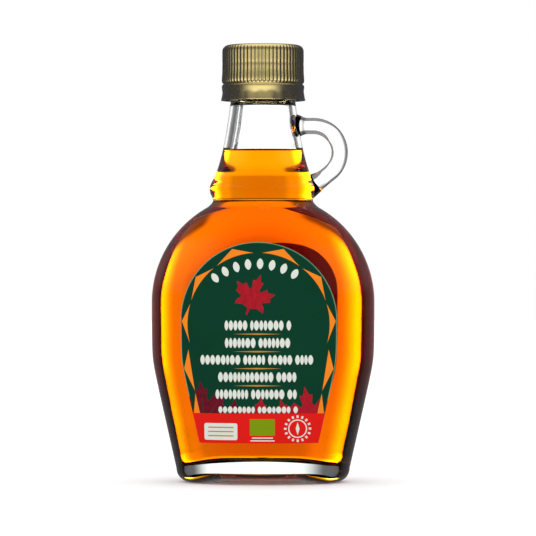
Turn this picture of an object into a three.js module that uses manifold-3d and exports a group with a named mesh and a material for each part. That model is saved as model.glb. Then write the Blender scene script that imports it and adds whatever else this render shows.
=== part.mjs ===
// A sealed quarter-litre glass flask of maple syrup with a finger loop at the neck, a ribbed gold
// screw cap and a paper label on its front and on its back. Millimetres, +Z up, the front faces -Y and the
// loop points to +X. The origin is on the surface that the flask stands on, below the middle of the body.

import * as THREE from "three";
import { mergeVertices } from "three/addons/utils/BufferGeometryUtils.js";
import Module from "manifold-3d";

const wasm = await Module();
wasm.setup();

// Body of the flask
const HALF_WIDTH = 40.2;
const HALF_DEPTH = 28.1;
const SHOULDER_RADIUS = 39.1;
const EQUATOR_Z = 64.8; // the shoulder's arcs start here
const TAPER_Z = 44.1; // below here the sides draw in
const TAPER_WIDTH = 0.228; // a side's lean, mm per mm
const TAPER_DEPTH = 0.1; // the lean of the front and the back
const TAPER_SOFTNESS = 4;
const ROUNDING = 3; // power of the height share at which the oval shoulder turns round
const FULLNESS = 2.18; // power of the section's curve: 2 is an ellipse, more is fuller at the corners
const WALL = 2.5;

// Foot: the heel is lifted at the front and the back, so the flask stands on its two ends
const HEEL_RADIUS = 5;
const BEARING_WIDTH = 3.2;
const PUSH_UP = 1; // height of the hollow under the base
const ARCH_RISE = 2.35;
const HEEL_SQUEEZE = 2.4; // the heel is this much lower at the front and the back
const ARCH_FROM = 0.5; // sine of the angle round the foot where the arch begins
const ARCH_TO = 0.92;
const ARCH_TOP_Z = 24; // the lift has died out here
const FLOOR_Z = 6.9; // inside floor at its rim
const FLOOR_DOME = 1.4; // the floor's rise at its middle
const FLOOR_CORNER = 4.6;

// Neck, bulb and finish: points of the outline as radius and height
const CREASE = new THREE.Vector2(18.2, 99.9); // where the shoulder meets the bulb
const WAIST = new THREE.Vector2(17.6, 101.7);
const BULB_PULL = new THREE.Vector2(19.9, 104);
const BULB_TOP = new THREE.Vector2(19.05, 107.3);
const CONE_PULL = new THREE.Vector2(14.6, 113);
const NECK_TOP = new THREE.Vector2(11.7, 137);
const BEAD_RADIUS = 13.2;
const BEAD_Z = 138.2;
const BEAD_HEIGHT = 2.2;
const BEAD_SLOPE = 0.7; // height of the slope from the bead up to the finish
const FINISH_RADIUS = 12.6;
const MOUTH_Z = 156.1;
const BORE_RADIUS = 9;
const FILL_Z = 119.6;

// Finger loop
const LOOP = new THREE.Vector2(18.2, 118.8);
const LOOP_OUTER = 12.45;
const LOOP_INNER = 6.6;
const LOOP_TURN = THREE.MathUtils.degToRad(-52); // where the strap leaves its circle for the bulb
const LEG_RUN = 12.5; // straight run of the strap's outer edge into the bulb
const LOOP_ROOT = 3; // the drawn shape starts here, inside the neck
const LOOP_FILLET = 2;
const FILLET_PULL = 1; // the fillet's bend, this far out from the neck's top
const FILLET_RUN = 3; // the fillet ends this far out
const EYE_TOP = new THREE.Vector2(12.3, 122.4); // the eye's corners lie in the neck's wall
const EYE_END = new THREE.Vector2(14.9, 115.4);
const EYE_PULL = new THREE.Vector2(18.4, 110.4);
const EYE_RUN = 2; // straight run of the eye's lower edge
const EYE_ROOF = 3.4; // the eye's upper edge bends down this far out from its corner
const STRAP_WIDE = 7.2;
const STRAP_ROUND = 2.6;

// Screw cap
const CAP_BOTTOM_Z = 137.5;
const CAP_TOP_Z = 157.5;
const CAP_RADIUS = 14.9;
const CAP_CORNER = 2.3;
const BAND_FLARE = 15.3;
const BAND_FLARE_HEIGHT = 3;
const BAND_TOP_Z = 143;
const GROOVE_RADIUS = 14.35;
const SKIRT_BOTTOM_Z = 143.9;
const RIBS = 64;
const RIB_DEPTH = 0.35;
const CAP_BORE = 13.6;
const GAP = 0.3; // clearance between neighbouring pieces
const OVERSHOOT = 1; // a cutting solid reaches this far beyond what it cuts

// Labels: an arch above sides that keep an even distance from the body's outline
const LABEL_THICKNESS = 0.18;
const FRONT_LABEL = { radius: 27.9, z: 58.4, inset: 12.4, bottom: 15 };
const BACK_LABEL = { radius: 17.4, z: 65.8, inset: 22.8, bottom: 20.4 };

// Fineness of the faceting
const SIDES = 44;
const BODY_STEPS = 8;
const NECK_STEPS = 5;
const ARC_STEPS = 4;
const LABEL_STEPS = 12;
const LABEL_CROWN = 0.9995; // the arch stops just short of its point, where the sheet would have no width

// How far a side has drawn in at height z: 0 above the taper, growing evenly below it.
function drawnIn(z) {
  const below = TAPER_Z - z;
  return (below + Math.hypot(below, TAPER_SOFTNESS)) / 2;
}

function halfWidth(z) {
  if (z <= EQUATOR_Z) return HALF_WIDTH - TAPER_WIDTH * (drawnIn(z) - drawnIn(EQUATOR_Z));
  const offset = HALF_WIDTH - SHOULDER_RADIUS;
  return offset + Math.sqrt(SHOULDER_RADIUS ** 2 - (z - EQUATOR_Z) ** 2);
}

function halfDepth(z) {
  if (z <= EQUATOR_Z) return HALF_DEPTH - TAPER_DEPTH * (drawnIn(z) - drawnIn(EQUATOR_Z));
  const share = Math.min((z - EQUATOR_Z) / (CREASE.y - EQUATOR_Z), 1);
  return halfWidth(z) * THREE.MathUtils.lerp(HALF_DEPTH / HALF_WIDTH, 1, share ** ROUNDING);
}

// Power of the section's curve at height z: the body is fuller than an ellipse and the neck is round.
function power(z) {
  return THREE.MathUtils.lerp(FULLNESS, 2, THREE.MathUtils.smoothstep(z, EQUATOR_Z, CREASE.y));
}

// Evenly spaced values from one end to the other, both ends included.
const spread = (from, to, steps) => [...Array(steps + 1).keys()].map((i) => from + ((to - from) * i) / steps);

// Outline of the flask's side from the top of the heel up to the crease.
function bodyOutline() {
  return spread(HEEL_RADIUS, EQUATOR_Z, BODY_STEPS)
    .concat(spread(EQUATOR_Z, CREASE.y, BODY_STEPS).slice(1))
    .map((z) => new THREE.Vector2(halfWidth(z), z));
}

// Outline of the round part, from the crease over the bulb and up the neck.
function neckOutline() {
  const path = new THREE.Path();
  path.moveTo(CREASE.x, CREASE.y);
  path.lineTo(WAIST.x, WAIST.y);
  path.quadraticCurveTo(BULB_PULL.x, BULB_PULL.y, BULB_TOP.x, BULB_TOP.y);
  path.quadraticCurveTo(CONE_PULL.x, CONE_PULL.y, NECK_TOP.x, NECK_TOP.y);
  return path.getPoints(NECK_STEPS).slice(1);
}

// Part of a circle in an outline, from one angle to another in degrees.
function arc(x, z, radius, from, to) {
  return spread(from, to, ARC_STEPS).map((degrees) => {
    const angle = THREE.MathUtils.degToRad(degrees);
    return new THREE.Vector2(x + radius * Math.cos(angle), z + radius * Math.sin(angle));
  });
}

// A shallow dome as an outline, from the axis down to its rim.
function dome(radius, rimZ, rise) {
  return spread(0, radius, ARC_STEPS).map((x) => new THREE.Vector2(x, rimZ + rise * (1 - (x / radius) ** 2)));
}

// A solid of revolution about Z. Its outline starts and ends on the axis and runs anticlockwise.
function turned(outline) {
  return new THREE.LatheGeometry(outline, SIDES).rotateX(Math.PI / 2);
}

// How far the arch of the foot lifts a point of the round blank.
function archLift(x, y, z) {
  const radius = Math.hypot(x, y);
  const sine = radius > 0 ? Math.abs(y) / radius : 0;
  const round = THREE.MathUtils.smoothstep(sine, ARCH_FROM, ARCH_TO);
  const out = Math.min(radius / halfWidth(HEEL_RADIUS), 1);
  const lift = ARCH_RISE * (1 - THREE.MathUtils.smoothstep(z, FLOOR_Z, ARCH_TOP_Z));
  const aboveHeel = THREE.MathUtils.smoothstep(z, HEEL_RADIUS, FLOOR_Z);
  const squeezed = HEEL_SQUEEZE * (THREE.MathUtils.smoothstep(z, 0, HEEL_RADIUS) - aboveHeel);
  return round * out * (lift - squeezed);
}

// How much farther out than a circle the section's curve passes in the direction of x and y.
function fuller(x, y, curve) {
  const radius = Math.hypot(x, y);
  return radius > 0 ? (Math.abs(x / radius) ** curve + Math.abs(y / radius) ** curve) ** (-1 / curve) : 1;
}

// Presses the round blank into the flask's oval, ring by ring, and lifts its foot into the arch.
function pressed(geometry, inset = 0) {
  const at = geometry.getAttribute("position");
  for (let i = 0; i < at.count; i++) {
    const [x, y, z] = [at.getX(i), at.getY(i), at.getZ(i)];
    const level = THREE.MathUtils.clamp(z, HEEL_RADIUS, CREASE.y);
    const flattening = (halfDepth(level) - inset) / (halfWidth(level) - inset);
    const full = fuller(x, y, power(level));
    at.setXYZ(i, x * full, y * full * flattening, z + archLift(x, y, z));
  }
  return geometry;
}

function solid(geometry) {
  const bare = geometry.clone().deleteAttribute("normal").deleteAttribute("uv");
  const merged = mergeVertices(bare, 1e-4);
  return new wasm.Manifold(
    new wasm.Mesh({
      numProp: 3,
      vertProperties: Float32Array.from(merged.getAttribute("position").array),
      triVerts: Uint32Array.from(merged.index.array),
    }),
  );
}

function geometryOf(manifold) {
  const mesh = manifold.getMesh();
  const geometry = new THREE.BufferGeometry();
  geometry.setAttribute("position", new THREE.BufferAttribute(mesh.vertProperties, 3));
  geometry.setIndex(new THREE.BufferAttribute(mesh.triVerts, 1));
  return geometry;
}

// The flask's outside, from the hollow under its base to the flat top of its mouth.
function outside() {
  const foot = halfWidth(HEEL_RADIUS) - HEEL_RADIUS;
  return pressed(
    turned([
      ...dome(foot - BEARING_WIDTH, 0, PUSH_UP),
      ...arc(foot, HEEL_RADIUS, HEEL_RADIUS, -90, 0),
      ...bodyOutline().slice(1),
      ...neckOutline(),
      new THREE.Vector2(BEAD_RADIUS, BEAD_Z),
      new THREE.Vector2(BEAD_RADIUS, BEAD_Z + BEAD_HEIGHT),
      new THREE.Vector2(FINISH_RADIUS, BEAD_Z + BEAD_HEIGHT + BEAD_SLOPE),
      new THREE.Vector2(FINISH_RADIUS, MOUTH_Z),
      new THREE.Vector2(0, MOUTH_Z),
    ]),
  );
}

// The space inside the flask up to the height top, drawn in from the glass by gap.
function inside(top, gap = 0) {
  const inset = WALL + gap;
  const floor = FLOOR_Z + gap;
  const cornerTop = floor + FLOOR_CORNER;
  const rim = halfWidth(cornerTop) - inset - FLOOR_CORNER;
  const bore = BORE_RADIUS - gap;
  const side = [...bodyOutline(), ...neckOutline()]
    .filter((p) => p.y > cornerTop + OVERSHOOT)
    .map((p) => new THREE.Vector2(Math.max(p.x - inset, bore), p.y));
  side.push(new THREE.Vector2(bore, MOUTH_Z + OVERSHOOT));
  const above = side.findIndex((p) => p.y >= top);
  const share = (top - side[above - 1].y) / (side[above].y - side[above - 1].y);
  return pressed(
    turned([
      ...dome(rim, floor, FLOOR_DOME),
      ...arc(rim, cornerTop, FLOOR_CORNER, -90, 0).slice(1),
      ...side.slice(0, above),
      new THREE.Vector2().lerpVectors(side[above - 1], side[above], share),
      new THREE.Vector2(0, top),
    ]),
    inset,
  );
}

// The finger loop, drawn in the XZ plane from inside the neck round to inside the bulb.
function fingerLoop() {
  const [away, down] = [Math.sin(LOOP_TURN), -Math.cos(LOOP_TURN)];
  const legStart = new THREE.Vector2(Math.cos(LOOP_TURN), Math.sin(LOOP_TURN));
  const legEnd = legStart.clone().multiplyScalar(LOOP_OUTER).add(LOOP);
  legEnd.x += LEG_RUN * away;
  legEnd.y += LEG_RUN * down;
  const innerEnd = legStart.clone().multiplyScalar(LOOP_INNER).add(LOOP);

  const strap = new THREE.Shape();
  strap.moveTo(LOOP_ROOT, LOOP.y + LOOP_OUTER + LOOP_FILLET);
  strap.lineTo(NECK_TOP.x, LOOP.y + LOOP_OUTER + LOOP_FILLET);
  const filletEnd = NECK_TOP.x + FILLET_RUN;
  strap.quadraticCurveTo(NECK_TOP.x + FILLET_PULL, LOOP.y + LOOP_OUTER, filletEnd, LOOP.y + LOOP_OUTER);
  strap.absarc(LOOP.x, LOOP.y, LOOP_OUTER, Math.PI / 2, LOOP_TURN, true);
  strap.lineTo(legEnd.x, legEnd.y);
  strap.lineTo(LOOP_ROOT, legEnd.y);

  const hole = new THREE.Path();
  hole.moveTo(EYE_END.x, EYE_END.y);
  hole.quadraticCurveTo(EYE_PULL.x, EYE_PULL.y, innerEnd.x + EYE_RUN * away, innerEnd.y + EYE_RUN * down);
  hole.absarc(LOOP.x, LOOP.y, LOOP_INNER, LOOP_TURN, Math.PI / 2, false);
  hole.lineTo(EYE_TOP.x + EYE_ROOF, LOOP.y + LOOP_INNER);
  hole.quadraticCurveTo(EYE_TOP.x + FILLET_PULL, LOOP.y + LOOP_INNER, EYE_TOP.x, EYE_TOP.y);
  strap.holes.push(hole);

  const flat = STRAP_WIDE - 2 * STRAP_ROUND;
  return new THREE.ExtrudeGeometry(strap, {
    depth: flat,
    curveSegments: 10,
    bevelThickness: STRAP_ROUND,
    bevelSize: STRAP_ROUND,
    bevelOffset: -STRAP_ROUND,
    bevelSegments: 3,
  })
    .rotateX(Math.PI / 2)
    .translate(0, flat / 2, 0);
}

function flask() {
  const blank = solid(outside()).add(solid(fingerLoop()));
  return geometryOf(blank.subtract(solid(inside(MOUTH_Z + OVERSHOOT))));
}

// The ribbed skirt: a toothed disc drawn straight up.
function ribs(fromZ, toZ) {
  const teeth = spread(0, 2 * RIBS - 1, 2 * RIBS - 1).map((i) => {
    const angle = (Math.PI * i) / RIBS;
    const radius = CAP_RADIUS - (i % 2) * RIB_DEPTH;
    return new THREE.Vector2(radius * Math.cos(angle), radius * Math.sin(angle));
  });
  const disc = new THREE.ExtrudeGeometry(new THREE.Shape(teeth), { depth: toZ - fromZ, bevelEnabled: false });
  return disc.translate(0, 0, fromZ);
}

function screwCap() {
  const root = CAP_RADIUS - RIB_DEPTH;
  const ribTop = CAP_TOP_Z - CAP_CORNER;
  const shell = turned([
    new THREE.Vector2(0, CAP_BOTTOM_Z),
    new THREE.Vector2(BAND_FLARE, CAP_BOTTOM_Z),
    new THREE.Vector2(CAP_RADIUS, CAP_BOTTOM_Z + BAND_FLARE_HEIGHT),
    new THREE.Vector2(CAP_RADIUS, BAND_TOP_Z),
    new THREE.Vector2(GROOVE_RADIUS, (BAND_TOP_Z + SKIRT_BOTTOM_Z) / 2),
    new THREE.Vector2(root, SKIRT_BOTTOM_Z),
    ...arc(root - CAP_CORNER, ribTop, CAP_CORNER, 0, 90),
    new THREE.Vector2(0, CAP_TOP_Z),
  ]);
  const bore = turned([
    new THREE.Vector2(0, CAP_BOTTOM_Z - OVERSHOOT),
    new THREE.Vector2(CAP_BORE, CAP_BOTTOM_Z - OVERSHOOT),
    new THREE.Vector2(CAP_BORE, MOUTH_Z + GAP),
    new THREE.Vector2(0, MOUTH_Z + GAP),
  ]);
  return geometryOf(solid(shell).add(solid(ribs(SKIRT_BOTTOM_Z, ribTop))).subtract(solid(bore)));
}

// Half the width of a label at height z, seen from the front.
function labelHalfWidth(shape, z) {
  const arch = Math.sqrt(shape.radius ** 2 - Math.max(z - shape.z, 0) ** 2);
  return Math.min(arch, halfWidth(z) - shape.inset);
}

// An arched sheet that follows the body. facing is -1 on the front and 1 on the back.
function label(shape, facing) {
  const sheet = new THREE.BoxGeometry(2, 2, 1, LABEL_STEPS, LABEL_STEPS, 1);
  const at = sheet.getAttribute("position");
  const height = shape.z + shape.radius * LABEL_CROWN - shape.bottom;
  for (let i = 0; i < at.count; i++) {
    const up = Math.sin(((at.getY(i) + 1) * Math.PI) / 4); // the rows close up towards the arch's crown
    const z = shape.bottom + height * up;
    const x = at.getX(i) * labelHalfWidth(shape, z);
    const off = GAP + LABEL_THICKNESS * (0.5 + at.getZ(i));
    const across = Math.abs(x) / (halfWidth(z) + off);
    const reach = (halfDepth(z) + off) * (1 - across ** power(z)) ** (1 / power(z));
    at.setXYZ(i, -facing * x, facing * reach, z);
  }
  return sheet;
}

function piece(name, geometry, finish) {
  const mesh = new THREE.Mesh(geometry, new THREE.MeshStandardMaterial(finish));
  mesh.name = name;
  return mesh;
}

const bottle = new THREE.Group();
bottle.add(
  piece("flask", flask(), { color: 0xe9f2ee, roughness: 0.03, transparent: true, opacity: 0.4 }),
  piece("syrup", inside(FILL_Z, GAP), { color: 0xc2590a, roughness: 0.05 }),
  piece("screw_cap", screwCap(), { color: 0xa8924a, roughness: 0.3, metalness: 1 }),
  piece("front_label", label(FRONT_LABEL, -1), { color: 0x0b3c29, roughness: 0.5 }),
  piece("back_label", label(BACK_LABEL, 1), { color: 0xe9e4d4, roughness: 0.6 }),
);

export default bottle;
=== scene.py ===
import math
import random

import bmesh
import bpy
from bpy.props import FloatProperty, FloatVectorProperty, IntProperty, PointerProperty
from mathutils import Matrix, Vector
from mathutils.geometry import delaunay_2d_cdt


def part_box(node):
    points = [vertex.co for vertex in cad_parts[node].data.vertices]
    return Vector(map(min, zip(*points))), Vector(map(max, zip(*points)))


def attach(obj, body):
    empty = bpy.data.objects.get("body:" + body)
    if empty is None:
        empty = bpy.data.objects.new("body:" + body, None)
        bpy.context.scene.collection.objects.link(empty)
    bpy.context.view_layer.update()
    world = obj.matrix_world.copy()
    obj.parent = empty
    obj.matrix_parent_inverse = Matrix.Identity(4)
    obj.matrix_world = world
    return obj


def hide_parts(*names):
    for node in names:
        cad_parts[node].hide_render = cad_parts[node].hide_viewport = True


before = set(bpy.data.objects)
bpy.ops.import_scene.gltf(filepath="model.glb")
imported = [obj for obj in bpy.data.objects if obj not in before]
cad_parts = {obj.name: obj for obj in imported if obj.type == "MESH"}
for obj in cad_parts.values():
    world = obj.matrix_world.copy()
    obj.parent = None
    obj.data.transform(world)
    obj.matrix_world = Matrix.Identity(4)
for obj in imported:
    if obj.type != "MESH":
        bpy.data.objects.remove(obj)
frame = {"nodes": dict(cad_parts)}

bl_info = {
    "name": "Glass Syrup Flask",
    "version": (1, 0, 0),
    "blender": (4, 5, 0),
    "location": "3D View > Sidebar > Flask",
    "description": "Dresses the packed flask with clear glass, amber syrup, a gold cap and printed labels",
    "category": "Add Mesh",
}

# All lengths below are in millimetres, and MM turns them into Blender's metres.
MM = 0.001


def box_mm(node):
    """Lowest and highest corner of a node of the frame, in millimetres."""
    low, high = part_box(node)
    return Vector(low) / MM, Vector(high) / MM


FLASK_HIGH = box_mm("flask")[1]
CAP_LOW, CAP_HIGH = box_mm("screw_cap")
SYRUP_HIGH = box_mm("syrup")[1]

# Body of the flask
HALF_WIDTH = FLASK_HIGH.x
HALF_DEPTH = FLASK_HIGH.y
MOUTH_Z = FLASK_HIGH.z
FILL_Z = SYRUP_HIGH.z
SHOULDER_RADIUS = 39.1
EQUATOR_Z = 64.8
TAPER_Z = 44.1
TAPER_WIDTH = 0.228
TAPER_DEPTH = 0.1
TAPER_SOFTNESS = 4
ROUNDING = 3
FULLNESS = 2.11  # power of the section's curve: 2 is an ellipse, more is fuller at the corners

# Foot
HEEL_RADIUS = 5
BEARING_WIDTH = 3.2
PUSH_UP = 1.0
HEEL_SQUEEZE = 2.4  # the heel is this much lower at the front and back
ARCH_RISE = 2.35
ARCH_FROM = 0.5
ARCH_TO = 0.92
ARCH_TOP_Z = 24
FLOOR_Z = 6.9
FLOOR_DOME = 1.4
FLOOR_CORNER = 4.6
CORNER_STEP = 1  # clear of the floor's corner, where the side starts

# Neck, bulb and finish: radius and height
WALL_MIDDLE = 1.25  # faces further in than this belong to the flask's inside
FLOOR_MARGIN = 1  # faces lower than this under the inner floor belong to the foot
CREASE = Vector((18.2, 99.9))
SHOULDER_END = CREASE.y - 1.4  # the neck's first curve starts here
WAIST = Vector((17.6, 101.7))
BULB_PULL = Vector((19.9, 104))
BULB_TOP = Vector((19.05, 107.3))
CONE_PULL = Vector((14.6, 113))
NECK_TOP = Vector((11.7, 137))
SOFTENING = 5  # passes that round the joins between the neck's curves
BEAD_RADIUS = 13.2
BEAD_Z = 138.2
BEAD_HEIGHT = 2.2
BEAD_EDGE = 1.1
FINISH_STEP = 1  # from the bead up to the straight finish
FINISH_RADIUS = 12.6
BORE_RADIUS = 9
LIP_RADIUS = (FINISH_RADIUS - BORE_RADIUS) / 2
BORE_STEP = 0.5  # from the bore's top up to the lip

# Finger loop
LOOP = Vector((18.2, 118.8))
LOOP_OUTER = 12.45
LOOP_INNER = 6.6
LOOP_TURN = math.radians(-52)
LEG_RUN = 11.5
STRAP_WIDE = 7.2

# Screw cap
CAP_CORNER = 2.3
CAP_RADIUS = 14.9
BAND_TOP_Z = 143
SKIRT_BOTTOM_Z = 143.9
GROOVE_RADIUS = 14.35
CAP_BORE = 13.6

# Labels: an arch above sides that keep an even distance from the body's outline
FRONT_LABEL = {"radius": 27.9, "z": 58.4, "inset": 12.4, "bottom": 15}
BACK_LABEL = {"radius": 17.4, "z": 65.8, "inset": 22.8, "bottom": 20.4}
LABEL_GAP = 0.04
LABEL_THICKNESS = 0.12


# Sizes and colours that a user would change

class FlaskSizes(bpy.types.PropertyGroup):
    """Sizes that the look depends on."""

    wall: FloatProperty(
        name="Glass wall", description="Thickness of the glass", default=2.5 * MM, unit="LENGTH", precision=4
    )
    ribs: IntProperty(name="Ribs", description="Ribs round the cap", default=64, min=12)
    rib_depth: FloatProperty(
        name="Rib depth", description="Depth of the cap's ribs", default=0.25 * MM, unit="LENGTH", precision=5
    )
    rounds: IntProperty(name="Rounds", description="Faces round the flask's body", default=160, min=24)


def linear(value):
    """An sRGB hex colour such as #0B3C29 as linear red, green and blue."""
    parts = [int(value[i : i + 2], 16) / 255 for i in (1, 3, 5)]
    return tuple(p / 12.92 if p <= 0.04045 else ((p + 0.055) / 1.055) ** 2.4 for p in parts)


def colour(name, description, value):
    return FloatVectorProperty(
        name=name, description=description, subtype="COLOR", size=3, min=0, max=1, default=linear(value)
    )


class FlaskColours(bpy.types.PropertyGroup):
    """Colours of the cap and of the printed labels."""

    cap: colour("Cap", "Gold lacquer of the cap", "#C9B678")
    paper_green: colour("Green", "Ground of the front label", "#063A27")
    orange: colour("Orange", "Printed facets round the label's edge", "#E57E1D")
    cream: colour("Cream", "Printed grains and fields", "#CDD1C8")
    rule: colour("Gold rules", "Thin rules between the rows", "#B38038")
    leaf: colour("Leaf", "Red of the leaf", "#AE1A28")
    dark_leaf: colour("Dark leaves", "Leaves above the band", "#6E1226")
    band: colour("Band", "Red band at the label's foot", "#CD1813")
    band_green: colour("Band green", "Green field on the band", "#728A08")


# Shape of the flask

def drawn_in(z):
    below = TAPER_Z - z
    return (below + math.hypot(below, TAPER_SOFTNESS)) / 2


def half_width(z):
    if z <= EQUATOR_Z:
        return HALF_WIDTH - TAPER_WIDTH * (drawn_in(z) - drawn_in(EQUATOR_Z))
    rise = min(z - EQUATOR_Z, CREASE.y - EQUATOR_Z)
    return HALF_WIDTH - SHOULDER_RADIUS + math.sqrt(SHOULDER_RADIUS**2 - rise**2)


def half_depth(z):
    if z <= EQUATOR_Z:
        return HALF_DEPTH - TAPER_DEPTH * (drawn_in(z) - drawn_in(EQUATOR_Z))
    share = min((z - EQUATOR_Z) / (CREASE.y - EQUATOR_Z), 1)
    flattening = HALF_DEPTH / HALF_WIDTH
    return half_width(z) * (flattening + (1 - flattening) * share**ROUNDING)


def power(z):
    """Power of the section's curve at height z: the body is fuller than an ellipse and the neck is round."""
    return FULLNESS + (2 - FULLNESS) * smooth(z, EQUATOR_Z, CREASE.y)


def smooth(value, low, high):
    t = min(max((value - low) / (high - low), 0), 1)
    return t * t * (3 - 2 * t)


def spread(start, end, steps):
    return [start + (end - start) * i / steps for i in range(steps + 1)]


def curve(a, pull, b, steps):
    """Points of a quadratic curve from a to b, pulled towards pull, without its first point."""
    return [a * (1 - t) ** 2 + pull * 2 * t * (1 - t) + b * t * t for t in spread(0, 1, steps)[1:]]


def arc(x, z, radius, start, end, steps):
    angles = [math.radians(a) for a in spread(start, end, steps)]
    return [Vector((x + radius * math.cos(a), z + radius * math.sin(a))) for a in angles]


def dome(radius, rim_z, rise, steps):
    """Outline of a shallow dome, from the axis down to its rim."""
    return [Vector((x, rim_z + rise * (1 - (x / radius) ** 2))) for x in spread(0, radius, steps)]


def body_outline():
    low = [Vector((half_width(z), z)) for z in spread(HEEL_RADIUS, EQUATOR_Z, 30)]
    high = [Vector((half_width(z), z)) for z in spread(EQUATOR_Z, SHOULDER_END, 26)]
    return low + high[1:]


def neck_outline():
    start = Vector((half_width(SHOULDER_END), SHOULDER_END))
    points = curve(start, CREASE, WAIST, 6)
    points += curve(WAIST, BULB_PULL, BULB_TOP, 12)
    points += curve(BULB_TOP, CONE_PULL, NECK_TOP, 26)
    for _ in range(SOFTENING):
        inner = [(a + b * 2 + c) / 4 for a, b, c in zip(points, points[1:], points[2:])]
        points = points[:1] + inner + points[-1:]
    return points


def neck_radius(z):
    """Outer radius of the round part at height z."""
    points = neck_outline()
    for a, b in zip(points, points[1:]):
        if a.y <= z <= b.y:
            return a.x + (b.x - a.x) * (z - a.y) / (b.y - a.y)
    return points[-1].x if z > points[-1].y else points[0].x


def arch_lift(sine, radius, z):
    """How far the arch of the foot lifts a point of the round blank."""
    share = smooth(sine, ARCH_FROM, ARCH_TO) * min(radius / half_width(HEEL_RADIUS), 1)
    squeezed = HEEL_SQUEEZE * (smooth(z, 0, HEEL_RADIUS) - smooth(z, HEEL_RADIUS, FLOOR_Z))
    return share * (ARCH_RISE * (1 - smooth(z, FLOOR_Z, ARCH_TOP_Z)) - squeezed)


def pressed(radius, z, angle, inset):
    """A point of the round blank pressed into the flask's oval."""
    level = min(max(z, HEEL_RADIUS), CREASE.y)
    flattening = (half_depth(level) - inset) / (half_width(level) - inset)
    m = power(level)
    full = (abs(math.cos(angle)) ** m + abs(math.sin(angle)) ** m) ** (-1 / m)
    x = radius * full * math.cos(angle)
    y = radius * full * math.sin(angle)
    return Vector((x, y * flattening, z + arch_lift(abs(math.sin(angle)), radius, z)))


# Meshes

def mesh_object(name, vertices, faces, materials, slots=None):
    """An object of these vertices in millimetres. slots gives the place in materials of each face's own."""
    mesh = bpy.data.meshes.new(name)
    mesh.from_pydata([tuple(Vector(v) * MM) for v in vertices], [], faces)
    for material in materials:
        mesh.materials.append(material)
    if slots:
        mesh.polygons.foreach_set("material_index", slots)
    mesh.polygons.foreach_set("use_smooth", [True] * len(faces))
    mesh.validate()
    mesh.update()
    piece = bpy.data.objects.new(name, mesh)
    bpy.context.scene.collection.objects.link(piece)
    return piece


def revolved(outline, rounds, place):
    """Vertices and faces of a closed outline turned about Z. place(point, angle) gives each vertex."""
    vertices = []
    rings = []
    for point in outline:
        if point[0] == 0:
            rings.append([len(vertices)])
            vertices.append(place(point, 0))
            continue
        rings.append([len(vertices) + i for i in range(rounds)])
        vertices += [place(point, 2 * math.pi * i / rounds) for i in range(rounds)]
    faces = []
    for low, high in zip(rings, rings[1:]):
        if len(low) == len(high) == 1:
            continue
        for i in range(rounds):
            j = (i + 1) % rounds
            if len(low) == 1:
                faces.append((low[0], high[j], high[i]))
            elif len(high) == 1:
                faces.append((low[i], low[j], high[0]))
            else:
                faces.append((low[i], low[j], high[j], high[i]))
    return vertices, faces


def mark_wetted(piece, is_wetted):
    """Stores on each face how far it is a boundary between glass and syrup: 1 or 0."""
    marks = piece.data.attributes.new("wetted", "FLOAT", "FACE")
    marks.data.foreach_set("value", [float(is_wetted(face)) for face in piece.data.polygons])


def crease(piece, degrees):
    """Marks the edges sharper than this as sharp, so that the rest shades smoothly."""
    piece.data.set_sharp_from_angle(angle=math.radians(degrees))


def united(piece, other):
    """Joins other into piece with a boolean and deletes other."""
    union = piece.modifiers.new("union", "BOOLEAN")
    union.operation = "UNION"
    union.solver = "EXACT"
    union.object = other
    bpy.context.view_layer.update()
    done = bpy.data.meshes.new_from_object(piece.evaluated_get(bpy.context.evaluated_depsgraph_get()))
    piece.modifiers.clear()
    piece.data = done
    bpy.data.objects.remove(other)


def settle(piece, node):
    """Puts the piece in the place of a node of the frame."""
    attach(piece, "root")
    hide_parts(node)


# Materials

def add(tree, kind, inputs=None, settings=None, links=()):
    """Adds a node. links are (output socket, input name) pairs that feed it."""
    node = tree.nodes.new(kind)
    for key, value in (settings or {}).items():
        setattr(node, key, value)
    for key, value in (inputs or {}).items():
        node.inputs[key].default_value = value
    for source, key in links:
        tree.links.new(source, node.inputs[key])
    return node


def blank_material(name):
    material = bpy.data.materials.new(name)
    material.use_nodes = True
    tree = material.node_tree
    tree.nodes.clear()
    return material, tree


def finish_surface(tree, shader, volume=None):
    output = add(tree, "ShaderNodeOutputMaterial", links=[(shader.outputs[0], "Surface")])
    if volume:
        tree.links.new(volume.outputs[0], output.inputs["Volume"])


GLASS_IOR = 1.51
SYRUP_IOR = 1.455


def flint_glass():
    """Soda-lime flint glass, blown in an iron mould and fire-polished: hard and clear, with a faint swell
    that bends what is seen through it, and a little grey-green in its thick places."""
    material, tree = blank_material("soda_lime_glass")
    place = add(tree, "ShaderNodeTexCoord")
    swell = add(
        tree,
        "ShaderNodeTexNoise",
        {"Scale": 1 / (9 * MM), "Detail": 1.0},
        links=[(place.outputs["Object"], "Vector")],
    )
    bump = add(
        tree,
        "ShaderNodeBump",
        {"Strength": 0.12, "Distance": 0.35 * MM},
        links=[(swell.outputs["Fac"], "Height")],
    )
    glass = add(
        tree,
        "ShaderNodeBsdfPrincipled",
        {"Base Color": (1, 1, 1, 1), "Roughness": 0.0, "IOR": GLASS_IOR, "Transmission Weight": 1.0},
        links=[(bump.outputs["Normal"], "Normal")],
    )
    tint = add(tree, "ShaderNodeVolumeAbsorption", {"Color": (0.55, 0.72, 0.64, 1), "Density": 6.0})
    finish_surface(tree, with_wetted(tree, glass, GLASS_IOR), tint)
    return material


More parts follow.
